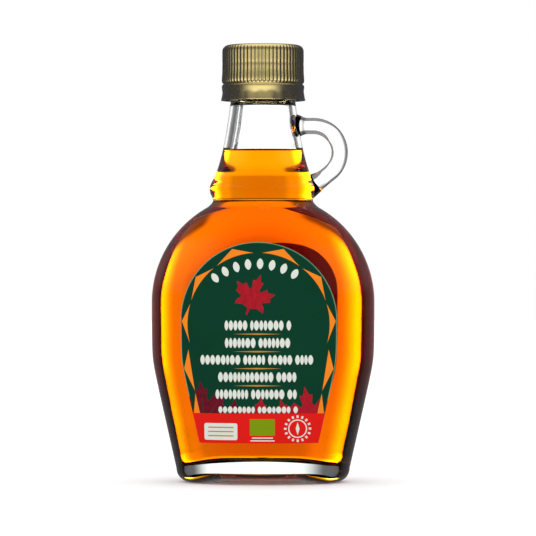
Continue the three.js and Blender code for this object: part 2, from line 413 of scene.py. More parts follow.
def with_wetted(tree, dry, ior):
    """Glass and syrup bend light almost alike, so where they touch the boundary passes light and hardly
    reflects any. The wetted faces only refract and the others keep the shader called dry."""
    mark = add(tree, "ShaderNodeAttribute", settings={"attribute_name": "wetted"})
    wet = add(tree, "ShaderNodeBsdfRefraction", {"Roughness": 0.0, "IOR": ior})
    links = [(mark.outputs["Fac"], 0), (dry.outputs[0], 1), (wet.outputs[0], 2)]
    return add(tree, "ShaderNodeMixShader", links=links)


def amber_syrup():
    """Maple syrup, a clear sugar solution: no haze, and an amber that deepens with the thickness."""
    material, tree = blank_material("maple_syrup")
    liquid = add(
        tree,
        "ShaderNodeBsdfPrincipled",
        {"Base Color": (1, 1, 1, 1), "Roughness": 0.0, "IOR": SYRUP_IOR, "Transmission Weight": 1.0},
    )
    tint = add(tree, "ShaderNodeVolumeAbsorption", {"Color": (0.984, 0.868, 0.0, 1), "Density": 400.0})
    finish_surface(tree, with_wetted(tree, liquid, SYRUP_IOR), tint)
    return material


def gold_lacquer(colours):
    """Rolled aluminium under a clear gold lacquer: a metal with a soft sheen and fine drawing marks."""
    material, tree = blank_material("gold_lacquered_aluminium")
    place = add(tree, "ShaderNodeTexCoord")
    stretch = add(
        tree,
        "ShaderNodeMapping",
        {"Scale": (1, 1, 0.12)},
        links=[(place.outputs["Object"], "Vector")],
    )
    marks = add(
        tree,
        "ShaderNodeTexNoise",
        {"Scale": 1 / (0.5 * MM), "Detail": 3.0},
        links=[(stretch.outputs["Vector"], "Vector")],
    )
    rough = add(
        tree,
        "ShaderNodeMapRange",
        {"To Min": 0.2, "To Max": 0.36},
        links=[(marks.outputs["Fac"], "Value")],
    )
    bump = add(
        tree,
        "ShaderNodeBump",
        {"Strength": 0.15, "Distance": 0.05 * MM},
        links=[(marks.outputs["Fac"], "Height")],
    )
    metal = add(
        tree,
        "ShaderNodeBsdfPrincipled",
        {"Base Color": (*colours.cap, 1), "Metallic": 1.0, "Coat Weight": 0.3, "Coat Roughness": 0.12},
        links=[(rough.outputs["Result"], "Roughness"), (bump.outputs["Normal"], "Normal")],
    )
    finish_surface(tree, metal)
    return material


def ink(name, tone, shade, cloud_size=2.5):
    """Offset ink soaked into matt paper: it hardly shines, and its tone wanders a little towards shade."""
    material, tree = blank_material(name)
    place = add(tree, "ShaderNodeTexCoord")
    cloud = add(
        tree,
        "ShaderNodeTexNoise",
        {"Scale": 1 / (cloud_size * MM), "Detail": 4.0},
        links=[(place.outputs["Object"], "Vector")],
    )
    mix = add(
        tree,
        "ShaderNodeMix",
        settings={"data_type": "RGBA"},
        links=[(cloud.outputs["Fac"], "Factor")],
    )
    mix.inputs["A"].default_value = (*tone, 1)
    mix.inputs["B"].default_value = (*shade, 1)
    paper = add(
        tree,
        "ShaderNodeBsdfPrincipled",
        {"Roughness": 0.6, "IOR": 1.45, "Specular IOR Level": 0.05},
        links=[(mix.outputs["Result"], "Base Color")],
    )
    finish_surface(tree, paper)
    return material


def deeper(tone, share):
    return tuple(c * share for c in tone)


# Operators, one for each piece or group of like pieces

class FLASK_OT_glass(bpy.types.Operator):
    """Blow the glass flask with its finger loop"""

    bl_idname = "flask.glass"
    bl_label = "Glass Flask"

    strap_root = 10.7  # the strap starts this far from the axis, inside the wall
    strap_sunk = 1.1  # its ends stop this deep in the wall
    strap_steps = 70
    strap_around = 28
    root_blend = (1.2, 5.2)  # the root's swelling fades between these lengths along the strap
    foot_blend = (9.5, 1.5)  # the foot's swelling grows between these lengths before its end
    root_swell = 0.45
    root_widening = 0.3
    foot_swell_in = 0.75
    foot_swell_out = 0.2
    foot_widening = 0.35
    sharp_edge = 42  # degrees

    def outline(self, wall):
        """The glass's section as (radius, height, inset): outside, lip, inside."""
        foot = half_width(HEEL_RADIUS) - HEEL_RADIUS
        outside = dome(foot - BEARING_WIDTH, 0, PUSH_UP, 10)
        outside += arc(foot, HEEL_RADIUS, HEEL_RADIUS, -90, 0, 12)
        outside += body_outline()[1:] + neck_outline()
        outside += arc(BEAD_RADIUS - BEAD_EDGE, BEAD_Z + BEAD_HEIGHT / 2, BEAD_EDGE, -70, 70, 6)
        outside += [Vector((FINISH_RADIUS, BEAD_Z + BEAD_HEIGHT + FINISH_STEP))]
        outside += arc(FINISH_RADIUS - LIP_RADIUS, MOUTH_Z - LIP_RADIUS, LIP_RADIUS, 0, 180, 10)
        inside = reversed(cavity_outline(wall))
        return [(p.x, p.y, 0) for p in outside] + [(p.x, p.y, wall) for p in inside]

    def strap(self, glass):
        """The finger loop, swept from inside the neck's wall round to inside the bulb's."""
        thick = LOOP_OUTER - LOOP_INNER
        middle = (LOOP_OUTER + LOOP_INNER) / 2
        reach = LOOP.x - self.strap_root
        turn = middle * (math.pi / 2 - LOOP_TURN)
        length = reach + turn + LEG_RUN
        steps = self.strap_steps
        around = self.strap_around
        vertices = []
        for i in range(steps + 1):
            along = length * i / steps
            turned = min(max(along - reach, 0), turn)
            angle = math.pi / 2 - turned / middle
            run = min(along - reach, 0) + max(along - reach - turn, 0)
            out = Vector((math.cos(angle), 0, math.sin(angle)))
            ahead = Vector((math.sin(angle), 0, -math.cos(angle)))
            near = 1 - smooth(along, *self.root_blend)
            far = smooth(along, *(length - before for before in self.foot_blend))
            inward = thick / 2 * (1 + self.root_swell * near + self.foot_swell_in * far)
            outward = thick / 2 * (1 + self.root_swell * near + self.foot_swell_out * far)
            wide = STRAP_WIDE / 2 * (1 + self.root_widening * near + self.foot_widening * far)
            centre = Vector((LOOP.x, 0, LOOP.y)) + out * middle + ahead * run
            for k in range(around):
                a = 2 * math.pi * k / around
                high = math.cos(a) * (outward if math.cos(a) > 0 else inward)
                point = centre + out * high + Vector((0, math.sin(a) * wide, 0))
                if i in (0, steps):
                    radius = neck_radius(point.z) - self.strap_sunk
                    point.x = math.sqrt(max(radius**2 - point.y**2, 1))
                vertices.append(point)
        faces = []
        for i in range(steps):
            for k in range(around):
                a = i * around + k
                b = i * around + (k + 1) % around
                faces.append((a, b, b + around, a + around))
        faces.append(tuple(reversed(range(around))))
        faces.append(tuple(steps * around + k for k in range(around)))
        strap = mesh_object("strap", vertices, faces, [glass])
        bm = bmesh.new()
        bm.from_mesh(strap.data)
        bmesh.ops.recalc_face_normals(bm, faces=bm.faces)
        bm.to_mesh(strap.data)
        bm.free()
        return strap

    def execute(self, context):
        sizes = context.scene.flask_sizes
        glass = flint_glass()
        vertices, faces = revolved(
            self.outline(sizes.wall / MM),
            sizes.rounds,
            lambda point, angle: pressed(point[0], point[1], angle, point[2]),
        )
        piece = mesh_object("glass_flask", vertices, faces, [glass])
        united(piece, self.strap(glass))
        piece.data.polygons.foreach_set("use_smooth", [True] * len(piece.data.polygons))
        wet_top = FILL_Z * MM
        mark_wetted(piece, lambda face: face.center.z < wet_top and faces_inward(face))
        crease(piece, self.sharp_edge)
        settle(piece, "flask")
        return {"FINISHED"}


def cavity_outline(wall, gap=0.0):
    """Outline of the space inside the glass, drawn in by gap, from the middle of its floor to the mouth."""
    inset = wall + gap
    corner_top = FLOOR_Z + gap + FLOOR_CORNER
    rim = half_width(corner_top) - inset - FLOOR_CORNER
    side = [p for p in body_outline() + neck_outline() if p.y > corner_top + CORNER_STEP]
    side = [Vector((max(p.x - inset, BORE_RADIUS), p.y)) for p in side]
    return (
        dome(rim, FLOOR_Z + gap, FLOOR_DOME, 12)
        + arc(rim, corner_top, FLOOR_CORNER, -90, 0, 10)[1:]
        + side
        + [Vector((BORE_RADIUS, MOUTH_Z - LIP_RADIUS - BORE_STEP))]
    )


def faces_inward(face):
    """Whether a face of the glass belongs to its inside."""
    x, y, z = face.center / MM
    level = min(max(z, HEEL_RADIUS), CREASE.y)
    reach = neck_radius(z) if z > CREASE.y else half_width(level)
    deep = reach if z > CREASE.y else half_depth(level)
    m = power(level)
    within = abs(x / (reach - WALL_MIDDLE)) ** m + abs(y / (deep - WALL_MIDDLE)) ** m < 1
    return within and z > FLOOR_Z - FLOOR_MARGIN


class FLASK_OT_syrup(bpy.types.Operator):
    """Fill the flask with syrup up to its level"""

    bl_idname = "flask.syrup"
    bl_label = "Syrup"

    soak = 0.12  # the liquid reaches this far into the glass, so that no air shows between them
    meniscus = 0.9  # how far the liquid climbs the glass
    meniscus_width = 3.2
    edge_gap = 0.4  # clear of the meniscus, where the side ends
    level_middle = 0.5  # share of the radius at which the level surface has a ring of its own
    steepest = 0.3  # upright part of the normal of a face that still lies against the glass
    sharp_edge = 60  # degrees

    def execute(self, context):
        wall = context.scene.flask_sizes.wall / MM
        inset = wall - self.soak
        side = [p for p in cavity_outline(wall, -self.soak) if p.y < FILL_Z - self.edge_gap]
        edge = neck_radius(FILL_Z) - inset
        surface = [
            Vector((edge - self.meniscus_width * t, FILL_Z + self.meniscus * ((1 - t) ** 3 - 1)))
            for t in spread(0, 1, 12)
        ]
        level = [Vector((edge * share, surface[-1].y)) for share in (self.level_middle, 0)]
        outline = side + surface + level
        vertices, faces = revolved(
            [(p.x, p.y) for p in outline],
            context.scene.flask_sizes.rounds,
            lambda point, angle: pressed(point[0], point[1], angle, inset),
        )
        piece = mesh_object("syrup_filling", vertices, faces, [amber_syrup()])
        top = (FILL_Z - self.meniscus) * MM
        mark_wetted(piece, lambda face: face.center.z < top - MM or abs(face.normal.z) < self.steepest)
        crease(piece, self.sharp_edge)
        settle(piece, "syrup")
        return {"FINISHED"}


class FLASK_OT_cap(bpy.types.Operator):
    """Roll the gold screw cap with its ribs and its lower band"""

    bl_idname = "flask.cap"
    bl_label = "Screw Cap"

    per_rib = 10
    crimp = 0.1  # unevenness of the rolled edge
    lean = 0.19  # the skirt is this much slimmer above its foot
    hollow = 0.06  # a faint ring pressed into the skirt
    hollow_z = 150.7
    hollow_reach = 0.6
    flare = ((0.36, 0.0), (0.4, 0.2), (0.3, 0.5), (0.15, 1.1), (0.02, 1.9), (-0.1, 2.7))
    bulge = ((-0.18, -2.2), (-0.12, -1.6), (-0.02, -0.9), (0.0, -0.5), (-0.04, -0.2), (-0.2, 0.0))
    hem = (
        (-0.45, 0.0, 0.0, 0.45),
        (-0.28, 0.15, 0.4, 0.5),
        (-0.12, 0.35, 0.8, 0.5),
        (-0.03, 0.7, 1.0, 0.4),
        (0.0, 1.1, 1.0, 0.2),
        (-0.06, 2.0, 1.0, 0.0),
        (-0.13, 3.0, 1.0, 0.0),
        (-0.18, 3.8, 1.0, 0.0),
    )
    skirt_from = 4.6  # the plain ribbed part starts this far above the skirt's foot
    skirt_rows = 20
    rib_end = (1.3, 0.15)  # the ribs fade out between these depths under the top
    rib_power = 1.6  # the grooves are narrower than the ribs
    crown_ring = 1.2  # ring inside the top's rounded edge
    crown_sink = (0.12, 0.14)  # how far the top sinks in there and in its middle
    crown_middle = 0.4
    lid_gap = 0.1  # between the mouth and the lid
    lid_bevel = (0.3, 0.6)
    groove_step = 0.3
    waves = (9, 23)  # ripples round the rolled edge
    sharp_edge = 35  # degrees

    def row(self, radius, z, rib=0.0, scallop=0.0, crimp=0.0):
        """One ring of the cap's section, with its share of ribs, scallops and unevenness."""
        return (radius, z, rib, scallop, crimp)

    def band(self):
        """Rows of the lower band and of the groove above it, from the bottom up."""
        row = self.row
        rows = [row(CAP_BORE, CAP_LOW.z)]
        rows += [row(CAP_RADIUS + out, CAP_LOW.z + up, crimp=self.crimp) for out, up in self.flare]
        rows += [row(CAP_RADIUS + out, BAND_TOP_Z + up) for out, up in self.bulge]
        rows.append(row(GROOVE_RADIUS, BAND_TOP_Z + self.groove_step))
        rows.append(row(GROOVE_RADIUS, SKIRT_BOTTOM_Z - self.groove_step))
        return rows

    def skirt(self):
        """Rows of the ribbed skirt, up to and round the top's edge."""
        top = CAP_HIGH.z
        slim = CAP_RADIUS - self.lean
        rows = []
        for out, up, rib, scallop in self.hem:
            rows.append(self.row(CAP_RADIUS + out, SKIRT_BOTTOM_Z + up, rib, scallop))
        for z in spread(SKIRT_BOTTOM_Z + self.skirt_from, top - CAP_CORNER, self.skirt_rows):
            hollow = self.hollow * math.exp(-(((z - self.hollow_z) / self.hollow_reach) ** 2))
            rows.append(self.row(slim - hollow, z, rib=1.0))
        fade_low, fade_high = (top - depth for depth in self.rib_end)
        for p in arc(slim - CAP_CORNER, top - CAP_CORNER, CAP_CORNER, 0, 90, 12)[1:]:
            rows.append(self.row(p.x, p.y, rib=1 - smooth(p.y, fade_low, fade_high)))
        return rows

    def crown(self):
        """Rows of the top and of the lid's underside, down to the bore."""
        row = self.row
        rim_z, middle_z = (CAP_HIGH.z - sink for sink in self.crown_sink)
        lid_z = MOUTH_Z + self.lid_gap
        return [
            row(CAP_RADIUS - CAP_CORNER - self.crown_ring, rim_z),
            row(CAP_RADIUS * self.crown_middle, middle_z),
            row(0, middle_z),
            row(0, lid_z),
            row(CAP_BORE - self.lid_bevel[0], lid_z),
            row(CAP_BORE, MOUTH_Z - self.lid_bevel[1]),
        ]

    def execute(self, context):
        sizes = context.scene.flask_sizes
        depth = sizes.rib_depth / MM
        slow, fast = self.waves

        def place(point, angle):
            radius, z, rib, scallop, crimp = point
            groove = (0.5 - 0.5 * math.cos(sizes.ribs * angle)) ** self.rib_power
            radius -= depth * rib * groove
            radius += crimp * (0.5 * math.sin(slow * angle + 1) + 0.5 * math.sin(fast * angle)) - crimp
            z += scallop * (groove - 0.5)
            return Vector((radius * math.cos(angle), radius * math.sin(angle), z))

        count = sizes.ribs * self.per_rib
        vertices, faces = revolved(self.band() + self.skirt() + self.crown(), count, place)
        last = len(vertices) - count
        for i in range(count):
            j = (i + 1) % count
            faces.append((last + i, last + j, j, i))
        piece = mesh_object("gold_cap", vertices, faces, [gold_lacquer(context.scene.flask_colours)])
        crease(piece, self.sharp_edge)
        settle(piece, "screw_cap")
        return {"FINISHED"}


# Printed labels

def mirrored(outline):
    return [Vector((-p.x, p.y)) for p in reversed(outline)]


def label_half_width(shape, z):
    arch = math.sqrt(max(shape["radius"] ** 2 - max(z - shape["z"], 0) ** 2, 0))
    return min(arch, half_width(z) - shape["inset"])


def label_outline(shape, inset=0.0):
    """Corners of the label's edge, drawn in by inset, anticlockwise from its lower left."""
    heights = spread(shape["bottom"] + inset, shape["z"], 22)
    right = [Vector((label_half_width(shape, z) - inset, z)) for z in heights]
    crown = arc(0, shape["z"], shape["radius"] - inset, 0, 180, 48)[1:-1]
    return right + crown + mirrored(right)


SHEET_STEP = 1.6  # distance between the points of a printed sheet
SHEET_MARGIN = 0.8  # its inner points stay this far from its edge
SHEET_MERGE = 1e-5
SHEET_EDGE = 40  # degrees

# Grains that stand in for printed lines
GRAIN_WIDE = (1.2, 1.9)
GRAIN_GAP = 0.12
GRAIN_TURN = 1.5  # half the turn, in radians, that a grain's side follows
GRAIN_FULLNESS = 0.6
GROUP_LEAST = 4  # a group has more grains than this
GROUP_END = 0.35  # chance that it then ends after a grain
GROUP_GAP = 0.9


def on_body(x, z, facing, off):
    """The point of the flask's surface at x and z, lifted off it."""
    wide = half_width(z) + off
    deep = half_depth(z) + off
    m = power(z)
    return Vector((-facing * x, facing * deep * (1 - abs(x / wide) ** m) ** (1 / m), z))


def turns_left(outline):
    return sum(a.cross(b) for a, b in zip(outline, outline[1:] + outline[:1])) > 0


def finely(outline, longest):
    """The outline with its long edges divided, so that they bend with the body."""
    points = []
    for a, b in zip(outline, outline[1:] + outline[:1]):
        parts = max(math.ceil((b - a).length / longest), 1)
        points += [a.lerp(b, i / parts) for i in range(parts)]
    return points


def printed_sheet(name, shape, facing, layers, materials):
    """A label: a thin sheet on the body whose faces take the topmost layer's ink. layers is
    [(place in materials, outline)], from the ground up, and the last of materials is bare paper."""
    edge = label_outline(shape)
    layers = [(0, edge)] + layers
    points = []
    polygons = []
    for _, outline in layers:
        fine = finely(outline if turns_left(outline) else outline[::-1], SHEET_STEP)
        polygons.append(list(range(len(points), len(points) + len(fine))))
        points += fine
    top = shape["z"] + shape["radius"]
    for row in range(int((top - shape["bottom"]) / SHEET_STEP) + 1):
        z = shape["bottom"] + (row + 0.5) * SHEET_STEP
        reach = label_half_width(shape, z) - SHEET_MARGIN if z < top else 0
        count = int(reach / SHEET_STEP)
        points += [Vector((SHEET_STEP * i, z)) for i in range(-count, count + 1)] if reach > 0 else []
    flat, _, faces, _, _, sources = delaunay_2d_cdt(points, [], polygons, 0, SHEET_MERGE)
    kept = [(f, max(s)) for f, s in zip(faces, sources) if s and 0 in s]
    count = len(flat)
    vertices = [on_body(p.x, p.y, facing, LABEL_GAP + LABEL_THICKNESS) for p in flat]
    vertices += [on_body(p.x, p.y, facing, LABEL_GAP) for p in flat]
    made = []
    slots = []
    edges = {}
    paper = len(materials) - 1
    for face, source in kept:
        made.append(tuple(face))
        slots.append(layers[source][0])
        made.append(tuple(count + v for v in reversed(face)))
        slots.append(paper)
        for a, b in zip(face, face[1:] + face[:1]):
            edges[(a, b)] = edges.get((a, b), 0) + 1
    for a, b in edges:
        if (b, a) not in edges:
            made.append((b, a, count + a, count + b))
            slots.append(paper)
    piece = mesh_object(name, vertices, made, materials, slots)
    bm = bmesh.new()
    bm.from_mesh(piece.data)
    loose = [v for v in bm.verts if not v.link_faces]
    bmesh.ops.delete(bm, geom=loose, context="VERTS")
    bmesh.ops.recalc_face_normals(bm, faces=bm.faces)
    bm.to_mesh(piece.data)
    bm.free()
    crease(piece, SHEET_EDGE)
    return piece


def oblong(x, z, wide, high):
    return [
        Vector((x - wide / 2, z - high / 2)),
        Vector((x + wide / 2, z - high / 2)),
        Vector((x + wide / 2, z + high / 2)),
        Vector((x - wide / 2, z + high / 2)),
    ]


def rounded(x, z, wide, high, radius):
    right = x + wide / 2 - radius
    left = x - wide / 2 + radius
    up = z + high / 2 - radius
    down = z - high / 2 + radius
    return (
        arc(right, down, radius, -90, 0, 4)
        + arc(right, up, radius, 0, 90, 4)
        + arc(left, up, radius, 90, 180, 4)
        + arc(left, down, radius, 180, 270, 4)
    )


def disc(x, z, radius, steps=32):
    return arc(x, z, radius, 0, 360, steps)[:-1]


def turned(outline, degrees, size, x, z):
    """The outline turned, scaled and moved."""
    c = math.cos(math.radians(degrees)) * size
    s = math.sin(math.radians(degrees)) * size
    return [Vector((x + p.x * c - p.y * s, z + p.x * s + p.y * c)) for p in outline]


def grain(x, z, wide, high):
    """An upright grain with a point at each end."""
    turns = spread(-GRAIN_TURN, GRAIN_TURN, 8)
    right = [
        Vector((x + wide / 2 * math.cos(t) ** GRAIN_FULLNESS, z + high / 2 * t / GRAIN_TURN)) for t in turns
    ]
    left = [Vector((2 * x - p.x, p.y)) for p in reversed(right)]
    return right + left


def print_row(x, z, span, high, seed):
    """A row of plain grains as long and as high as a printed line, with a gap here and there."""
    pick = random.Random(seed)
    grains = []
    at = x - span / 2
    since = 0
    while at < x + span / 2 - GRAIN_WIDE[0]:
        wide = pick.uniform(*GRAIN_WIDE)
        grains.append(grain(at + wide / 2, z, wide, high))
        since += 1
        at += wide + GRAIN_GAP
        if since > GROUP_LEAST and pick.random() < GROUP_END:
            at += GROUP_GAP
            since = 0
    return grains


# Half of a leaf with five lobes, as a share of its length, from its tip down to its stalk
LEAF_HALF = [
    (0.0, 1.0),
    (0.1, 0.72),
    (0.22, 0.7),
    (0.16, 0.42),
    (0.22, 0.3),
    (0.44, 0.52),
    (0.52, 0.4),
    (0.82, 0.44),
    (0.68, 0.22),
    (0.72, 0.08),
    (0.42, -0.06),
    (0.56, -0.22),
    (0.6, -0.42),
    (0.3, -0.34),
    (0.05, -0.42),
    (0.03, -0.7),
]
LEAF_VEINS = [(0.0, 0.86), (0.6, 0.34), (-0.6, 0.34), (0.44, -0.3), (-0.44, -0.3)]


LEAF_FOOT = -0.34  # where the veins meet
VEIN_HALF = 0.022


def leaf():
    right = [Vector(p) for p in LEAF_HALF]
    left = [Vector((-p.x, p.y)) for p in reversed(right[1:])]
    return (right + left)[::-1]


def vein(tip):
    """A thin wedge from the foot of the leaf to one of its lobes."""
    foot = Vector((0, LEAF_FOOT))
    along = (Vector(tip) - foot).normalized()
    side = Vector((-along.y, along.x)) * VEIN_HALF
    return [foot - side, Vector(tip), foot + side]


# Inks of the front label and of the back label, by their places among the materials of each
# Of the front label's inks, the pale edge one is a painted highlight: a ring printed where light catches the
# paper's edge.
GREEN, ORANGE, CREAM, GOLD, RED, DARK, BAND, FIELD, VEIN, EDGE_HIGHLIGHT = range(10)
BACK_CREAM, BACK_GREEN, BACK_GREY = range(3)


def lozenge(x, z, half_wide, half_high):
    return [
        Vector((x - half_wide, z)),
        Vector((x, z - half_high)),
        Vector((x + half_wide, z)),
        Vector((x, z + half_high)),
    ]


def leaf_layers(tone, vein_tone, place):
    """A leaf and its veins. place is its lean, its size and its middle's x and z."""
    return [(tone, turned(leaf(), *place))] + [(vein_tone, turned(vein(tip), *place)) for tip in LEAF_VEINS]


class FLASK_OT_front_label(bpy.types.Operator):
    """Print the arched front label and put it on the flask"""

    bl_idname = "flask.front_label"
    bl_label = "Front Label"

    # painted highlight: width of the pale ring round the label's edge, which stands in for light caught by
    # the paper's edge
    edge_highlight_width = 0.3
    band_top = 25.6
    margin = 2.7  # width of the strip between the inner arch and the label's edge
    margin_drop = 8  # it ends this far under the centre of the label's arch
    arch_drop = 1.2  # the inner arch's centre is this far under the label's
    inner_arch = 25.3
    facets_a_side = 3  # on each half of the arch
    facet_first = 86.5  # this angle and the next three are in degrees
    facet_spacing = 35
    facet_span = 32
    facet_middle = 16
    facet_tip = (0.5, 0.8)  # its tip's distance from the edge, and its rise
    side_facets = ((33.6, 48.2, 41.4), (25.6, 32.6, 25.6))  # low end, high end and tip beside the rows
    side_tip = 0.4
    rows = ((56.8, 23.4, 3.5), (50.6, 23.2, 3.5), (44.6, 41.0, 3.4), (38.5, 28.2, 3.5), (32.4, 30.2, 3.4))
    first_seed = 3
    rule_drop = 3.05  # a thin rule lies this far under each row but the last
    rule_half = (8.6, 0.28)
    last_row = (26.9, 28.2, 2.4)
    last_seed = 11
    arched_row = (53.0, 25.6, 36.4, 9.6)  # centre, radius, first lean and spacing
    arched_count = 8
    arched_grain = (2.3, 3.7)
    main_leaf = (-20, 8.9, -1.8, 66.4)
    low_leaves = (
        (DARK, GREEN, (6, 10.8, -19.6, 26.4)),
        (DARK, GREEN, (-4, 9.0, -8.8, 22.0)),
        (RED, VEIN, (-6, 9.2, 0.4, 22.4)),
        (RED, VEIN, (12, 8.4, 9.8, 22.6)),
        (RED, VEIN, (8, 10.4, 18.0, 24.8)),
    )
    panel = (-13.3, 19.1, 12, 6.0, 0.7)  # middle, width, height and corner
    panel_lines = (20.6, 19.1, 17.6)
    panel_line = (9.2, 0.45)
    field = (1.6, 20.7, 8.8, 5.8)
    field_lines = ((16.9, 7.4), (15.9, 8.6))
    field_line_high = 0.4
    ring = (14, 20.2)
    ring_radii = (3.3, 2.9)
    ring_lozenge = (0.69, 2.3)
    teeth = 16
    teeth_radius = 4.3
    tooth = (0.7, 0.9)

    def inks(self, tones):
        """The label's inks in the order of their names, and its bare paper."""
        return [
            ink("printed_green", tones.paper_green, deeper(tones.paper_green, 0.72), 14),
            ink("printed_orange", tones.orange, deeper(tones.orange, 0.86), 9),
            ink("printed_cream", tones.cream, deeper(tones.cream, 0.9)),
            ink("printed_gold", tones.rule, deeper(tones.rule, 0.8)),
            ink("printed_leaf_red", tones.leaf, deeper(tones.leaf, 0.45), 1.3),
            ink("printed_dark_leaf", tones.dark_leaf, deeper(tones.dark_leaf, 0.35), 2),
            ink("printed_band_red", tones.band, deeper(tones.band, 0.93), 10),
            ink("printed_field_green", tones.band_green, deeper(tones.band_green, 0.93)),
            ink("printed_leaf_vein", deeper(tones.leaf, 0.4), tones.leaf, 1),
            # painted highlight: pale green ink for the ring round the label's edge, in place of light caught
            # by the paper's edge
            ink("painted_edge_highlight", linear("#5E8B70"), linear("#4E7A60")),
            ink("label_paper", linear("#E8E8E2"), linear("#D8D8D0")),
        ]

    def edge_point(self, z, inset=0.0):
        return Vector((label_half_width(FRONT_LABEL, z) - inset, z))

    def margins(self):
        """The green strips outside the inner arch, beside the leaves."""
        heights = spread(self.band_top, FRONT_LABEL["z"] - self.margin_drop, 14)
        outer = [self.edge_point(z, self.edge_highlight_width) for z in heights]
        inner = [self.edge_point(z, self.margin) for z in reversed(heights)]
        return [(GREEN, outer + inner), (GREEN, mirrored(outer + inner))]

    def facets(self):
        """Orange triangles between the inner arch and the label's edge."""
        made = []
        centre = FRONT_LABEL["z"] - self.arch_drop
        tip_inset, tip_rise = self.facet_tip
        reach = FRONT_LABEL["radius"] - tip_inset
        for i in range(self.facets_a_side):
            start = self.facet_first - self.facet_spacing * i
            inner = arc(0, centre, self.inner_arch, start - self.facet_span, start, 12)
            tip = math.radians(start - self.facet_middle)
            apex = Vector((reach * math.cos(tip), centre + tip_rise + reach * math.sin(tip)))
            made.append([apex] + inner)
        for low, high, tip in self.side_facets:
            inner = [self.edge_point(high, self.margin), self.edge_point(low, self.margin)]
            made.append(inner + [self.edge_point(tip, self.side_tip)])
        return [(ORANGE, f) for f in made + [mirrored(f) for f in made]]

    def lines(self):
        """Rows of grains with thin gold rules between them."""
        layers = []
        for i, (z, span, high) in enumerate(self.rows):
            layers += [(CREAM, g) for g in print_row(0, z, span, high, self.first_seed + i)]
            if i < len(self.rows) - 1:
                layers.append((GOLD, lozenge(0, z - self.rule_drop, *self.rule_half)))
        return layers + [(CREAM, g) for g in print_row(0, *self.last_row, self.last_seed)]

    def arched_line(self):
        """Wide grains that lean along the arch."""
        layers = []
        z, radius, first, spacing = self.arched_row
        for i in range(self.arched_count):
            lean = first - spacing * i
            a = math.radians(90 + lean)
            shape = grain(0, 0, *self.arched_grain)
            layers.append((CREAM, turned(shape, lean, 1, radius * math.cos(a), z + radius * math.sin(a))))
        return layers

    def band(self):
        """The red band along the foot, with a panel, a field and a toothed ring."""
        right = [self.edge_point(z) for z in spread(FRONT_LABEL["bottom"], self.band_top, 6)]
        layers = [(BAND, right + mirrored(right)), (CREAM, rounded(*self.panel))]
        layers += [(GOLD, oblong(self.panel[0], z, *self.panel_line)) for z in self.panel_lines]
        layers.append((FIELD, oblong(*self.field)))
        for z, wide in self.field_lines:
            layers.append((CREAM, oblong(self.field[0], z, wide, self.field_line_high)))
        x, z = self.ring
        layers += [(tone, disc(x, z, radius)) for tone, radius in zip((CREAM, BAND), self.ring_radii)]
        layers.append((CREAM, lozenge(x, z, *self.ring_lozenge)))
        for lean in spread(0, 360, self.teeth)[:-1]:
            out = Vector((math.cos(math.radians(lean)), math.sin(math.radians(lean)))) * self.teeth_radius
            layers.append((CREAM, turned(oblong(0, 0, *self.tooth), lean - 90, 1, x + out.x, z + out.y)))
        return layers

    def execute(self, context):
        # the pale ring under the green ground is a painted highlight along the label's edge
        layers = [(EDGE_HIGHLIGHT, label_outline(FRONT_LABEL)), (GREEN, label_outline(FRONT_LABEL, self.edge_highlight_width))]
        for tone, vein_tone, place in self.low_leaves:
            layers += leaf_layers(tone, vein_tone, place)
        layers += self.margins() + self.facets()
        layers += leaf_layers(RED, VEIN, self.main_leaf)
        layers += self.lines() + self.arched_line() + self.band()
        inks = self.inks(context.scene.flask_colours)
        piece = printed_sheet("front_label_sheet", FRONT_LABEL, -1, layers, inks)
        settle(piece, "front_label")
        return {"FINISHED"}


class FLASK_OT_back_label(bpy.types.Operator):
    """Print the back label and put it on the flask"""

    bl_idname = "flask.back_label"
    bl_label = "Back Label"

    crown_z = 70
    crown_leaf = (0, 5, 0, 75.2)  # lean, size and place
    row_count = 6
    upper_rows = (66, 2.6, 32, 1.3, 40)  # first height, spacing, length, height and seed
    lower_rows = (46, 3, 26, 1.2, 60)
    frame = (0, 38.5, 30, 20)
    frame_line = 0.4

    def small_print(self, first_z, spacing, span, high, seed):
        grains = []
        for i in range(self.row_count):
            grains += print_row(0, first_z - spacing * i, span, high, seed + i)
        return [(BACK_GREY, g) for g in grains]

    def execute(self, context):
        green = context.scene.flask_colours.paper_green
        inks = [
            ink("back_printed_cream", linear("#E6E1D0"), linear("#DAD4C0")),
            ink("back_printed_green", green, deeper(green, 0.72), 14),
            ink("back_printed_grey", linear("#3E4A44"), linear("#56605A")),
            ink("back_label_paper", linear("#E8E8E2"), linear("#D8D8D0")),
        ]
        x, z, wide, high = self.frame
        line = 2 * self.frame_line
        layers = [(BACK_GREEN, [p for p in label_outline(BACK_LABEL) if p.y > self.crown_z])]
        layers.append((BACK_CREAM, turned(leaf(), *self.crown_leaf)))
        layers += self.small_print(*self.upper_rows)
        layers.append((BACK_GREY, oblong(x, z, wide, high)))
        layers.append((BACK_CREAM, oblong(x, z, wide - line, high - line)))
        layers += self.small_print(*self.lower_rows)
        piece = printed_sheet("back_label_sheet", BACK_LABEL, 1, layers, inks)
        settle(piece, "back_label")
        return {"FINISHED"}


# Stage

